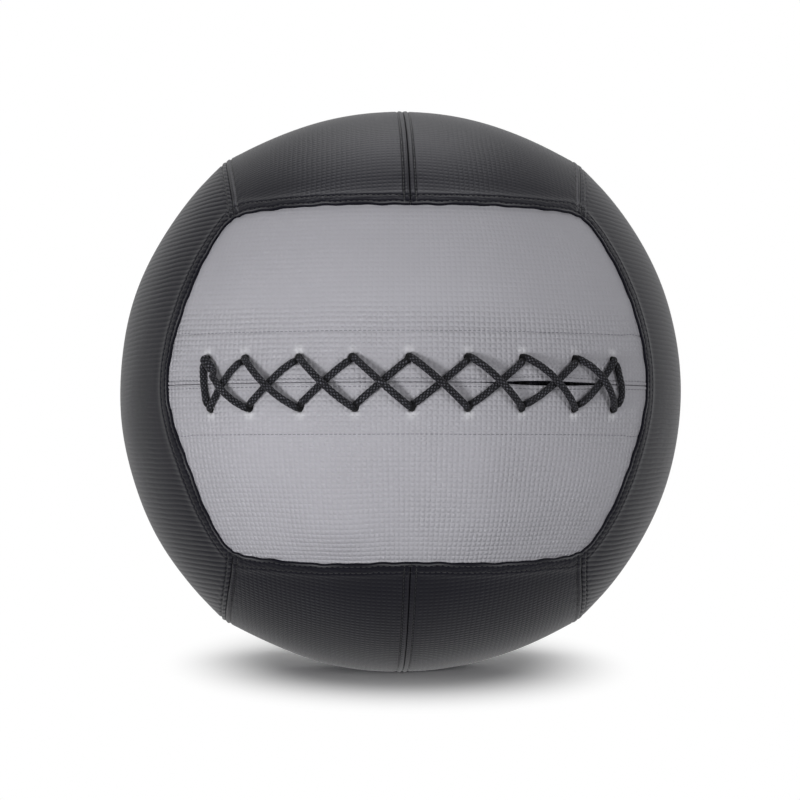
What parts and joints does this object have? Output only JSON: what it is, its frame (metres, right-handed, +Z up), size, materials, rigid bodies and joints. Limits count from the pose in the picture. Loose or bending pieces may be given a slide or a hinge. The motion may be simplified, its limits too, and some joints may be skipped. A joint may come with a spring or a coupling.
{
  "type": "wall ball",
  "caption": "Large soft exercise ball for throwing and catching: sewn black panels, one grey face with a laced slit, stuffed round a weighted core.",
  "frame": {"origin": "On the floor, below the middle of the ball's overall size with its lace, about 5 mm in front of the ball's own axis.", "axes": "+Z up. -Y is the way the laced grey face looks, so the slit runs along X. +X is to the right as one looks at that face."},
  "size_m": [0.352, 0.3605, 0.35],
  "materials": {
    "black_leatherette": "satin",
    "grey_leatherette": "satin",
    "padding_foam": "matte",
    "reinforcement_webbing": "matte",
    "black_lace": "matte",
    "textile_stuffing": "matte",
    "core_bag_cloth": "matte",
    "iron_sand": "matte",
    "tie_nylon": "satin"
  },
  "bodies": {
    "root": {"front_upper_panel": "grey_leatherette", "front_lower_panel": "grey_leatherette", "back_upper_panel": "black_leatherette", "back_lower_panel": "black_leatherette", "top_right_panel": "black_leatherette", "top_left_panel": "black_leatherette", "bottom_right_panel": "black_leatherette", "bottom_left_panel": "black_leatherette", "right_front_panel": "black_leatherette", "right_rear_panel": "black_leatherette", "left_rear_panel": "black_leatherette", "left_front_panel": "black_leatherette", "front_upper_foam": "padding_foam", "front_lower_foam": "padding_foam", "back_upper_foam": "padding_foam", "back_lower_foam": "padding_foam", "top_right_foam": "padding_foam", "top_left_foam": "padding_foam", "bottom_right_foam": "padding_foam", "bottom_left_foam": "padding_foam", "right_front_foam": "padding_foam", "right_rear_foam": "padding_foam", "left_rear_foam": "padding_foam", "left_front_foam": "padding_foam", "upper_lacing_strip": "reinforcement_webbing", "lower_lacing_strip": "reinforcement_webbing", "slit_tongue": "black_leatherette", "lace": "black_lace", "upper_stuffing": "textile_stuffing", "lower_stuffing": "textile_stuffing", "core_bag": "core_bag_cloth", "core_fill": "iron_sand", "core_tie": "tie_nylon"}
  },
  "joints": []
}
